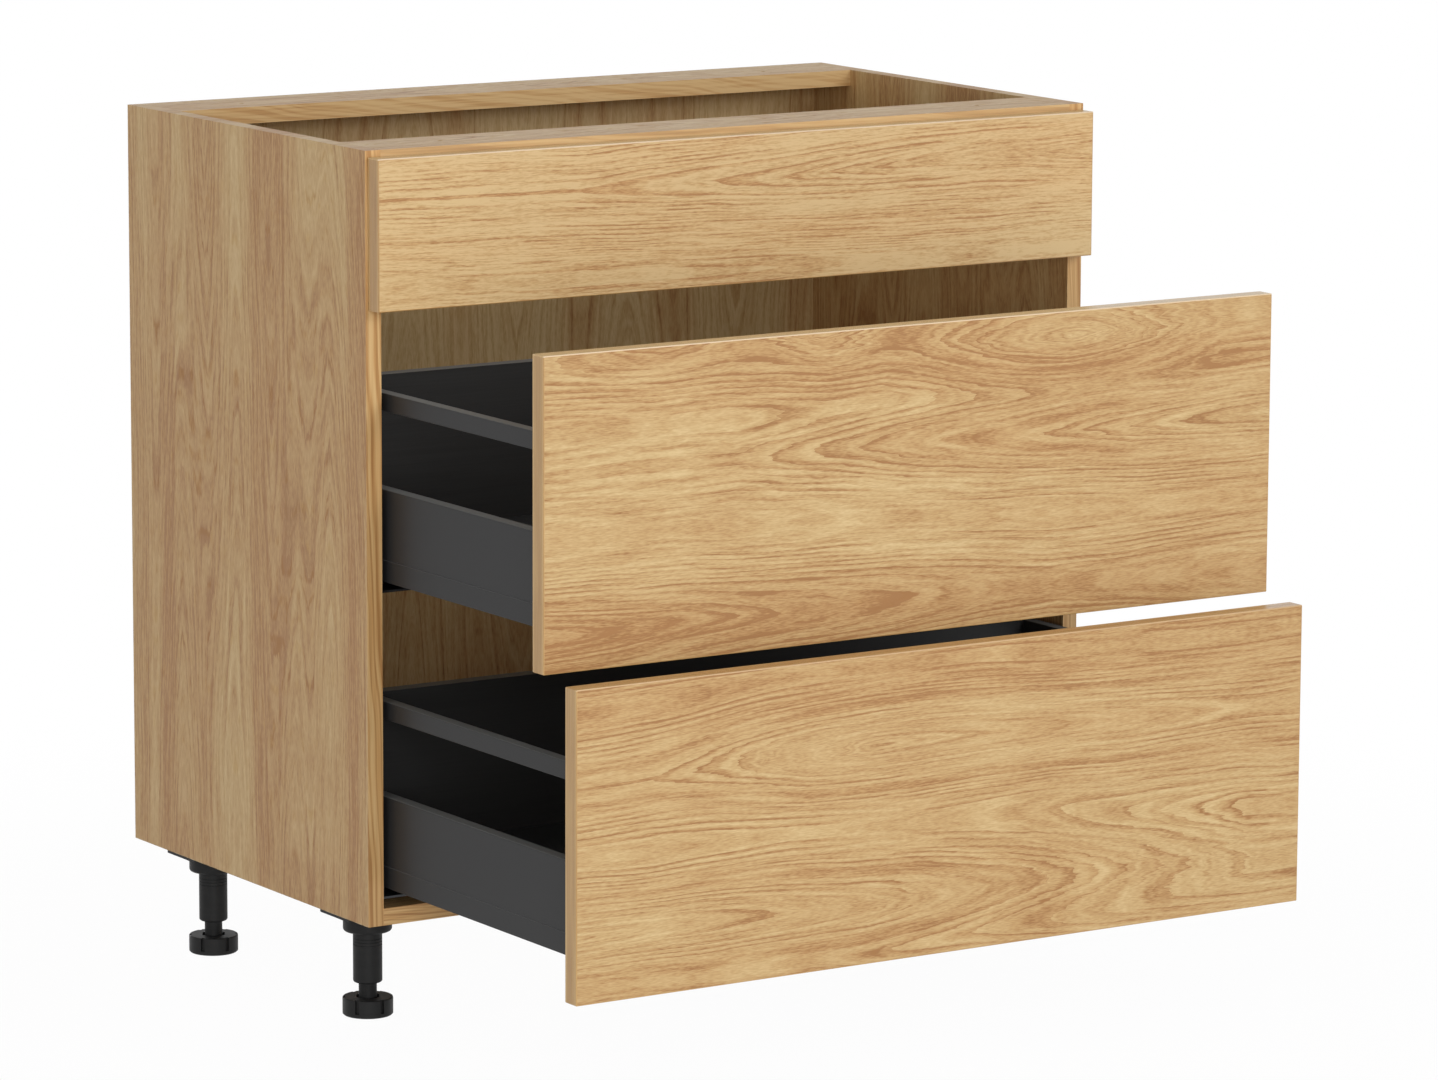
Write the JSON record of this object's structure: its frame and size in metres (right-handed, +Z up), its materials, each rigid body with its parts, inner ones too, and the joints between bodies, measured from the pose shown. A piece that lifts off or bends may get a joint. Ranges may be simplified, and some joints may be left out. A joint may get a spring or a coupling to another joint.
{
  "type": "kitchen base cabinet with drawers",
  "caption": "Wood-decor kitchen base cabinet on adjustable legs, open top between rails, blind top front and deep full-extension drawers with slim dark metal sides and gallery rails.",
  "frame": {"origin": "on the floor, under the middle of the whole outline with the drawers as stored", "axes": "+Z up, fronts face -Y, wall side +Y, +X to the right seen from the front"},
  "size_m": [0.8, 0.82, 0.82],
  "materials": {
    "front_wood": "satin",
    "carcass_wood": "satin",
    "back_wood": "satin",
    "front_edging": "satin",
    "carcass_edging": "satin",
    "drawer_metal": "satin",
    "gallery_metal": "satin",
    "drawer_board": "matte",
    "drawer_plastic": "matte",
    "runner_steel": "satin",
    "leg_plastic": "matte",
    "zinc": "satin",
    "beech": "matte"
  },
  "bodies": {
    "carcass": {"back_panel": "back_wood", "bottom_panel": "carcass_wood", "cam_bolts": "zinc", "cam_housings": "zinc", "carcass_bands": "carcass_edging", "carcass_screws": "zinc", "dowels": "beech", "fascia": "front_wood", "fascia_angles": "zinc", "fascia_band": "front_edging", "front_left_leg_socket": "leg_plastic", "front_left_leg_tube": "leg_plastic", "front_right_leg_socket": "leg_plastic", "front_right_leg_tube": "leg_plastic", "front_top_rail": "carcass_wood", "left_side_panel": "carcass_wood", "lower_left_runner": "runner_steel", "lower_right_runner": "runner_steel", "rear_left_leg_socket": "leg_plastic", "rear_left_leg_tube": "leg_plastic", "rear_right_leg_socket": "leg_plastic", "rear_right_leg_tube": "leg_plastic", "rear_top_rail": "carcass_wood", "right_side_panel": "carcass_wood", "upper_left_runner": "runner_steel", "upper_right_runner": "runner_steel"},
    "upper_drawer": {"upper_back": "drawer_board", "upper_bottom": "drawer_board", "upper_brackets": "zinc", "upper_connectors": "drawer_plastic", "upper_front": "front_wood", "upper_front_band": "front_edging", "upper_left_gallery": "gallery_metal", "upper_left_side": "drawer_metal", "upper_posts": "drawer_plastic", "upper_right_gallery": "gallery_metal", "upper_right_side": "drawer_metal", "upper_screws": "zinc", "upper_slides": "runner_steel"},
    "lower_drawer": {"lower_back": "drawer_board", "lower_bottom": "drawer_board", "lower_brackets": "zinc", "lower_connectors": "drawer_plastic", "lower_front": "front_wood", "lower_front_band": "front_edging", "lower_left_gallery": "gallery_metal", "lower_left_side": "drawer_metal", "lower_posts": "drawer_plastic", "lower_right_gallery": "gallery_metal", "lower_right_side": "drawer_metal", "lower_screws": "zinc", "lower_slides": "runner_steel"},
    "upper_runner": {"upper_left_middle": "runner_steel", "upper_right_middle": "runner_steel"},
    "lower_runner": {"lower_left_middle": "runner_steel", "lower_right_middle": "runner_steel"},
    "front_left_foot": {"front_left_foot": "leg_plastic"},
    "front_right_foot": {"front_right_foot": "leg_plastic"},
    "rear_left_foot": {"rear_left_foot": "leg_plastic"},
    "rear_right_foot": {"rear_right_foot": "leg_plastic"}
  },
  "joints": [
    {"name": "upper_drawer_slide", "type": "slide", "parent": "carcass", "child": "upper_drawer", "axis": [0, -1, 0], "range_m": [-0.287, 0.112]},
    {"name": "upper_runner_slide", "type": "slide", "parent": "carcass", "child": "upper_runner", "axis": [0, -1, 0], "range_m": [-0.1435, 0.056]},
    {"name": "lower_drawer_slide", "type": "slide", "parent": "carcass", "child": "lower_drawer", "axis": [0, -1, 0], "range_m": [-0.342, 0.057]},
    {"name": "lower_runner_slide", "type": "slide", "parent": "carcass", "child": "lower_runner", "axis": [0, -1, 0], "range_m": [-0.171, 0.0285]},
    {"name": "front_left_foot_screw", "type": "slide", "parent": "carcass", "child": "front_left_foot", "axis": [0, 0, -1], "range_m": [-0.01, 0.02]},
    {"name": "front_right_foot_screw", "type": "slide", "parent": "carcass", "child": "front_right_foot", "axis": [0, 0, -1], "range_m": [-0.01, 0.02]},
    {"name": "rear_left_foot_screw", "type": "slide", "parent": "carcass", "child": "rear_left_foot", "axis": [0, 0, -1], "range_m": [-0.01, 0.02]},
    {"name": "rear_right_foot_screw", "type": "slide", "parent": "carcass", "child": "rear_right_foot", "axis": [0, 0, -1], "range_m": [-0.01, 0.02]}
  ],
  "couplings": [
    {"joint": "upper_runner_slide", "follows": "upper_drawer_slide", "ratio": 0.5},
    {"joint": "lower_runner_slide", "follows": "lower_drawer_slide", "ratio": 0.5}
  ]
}
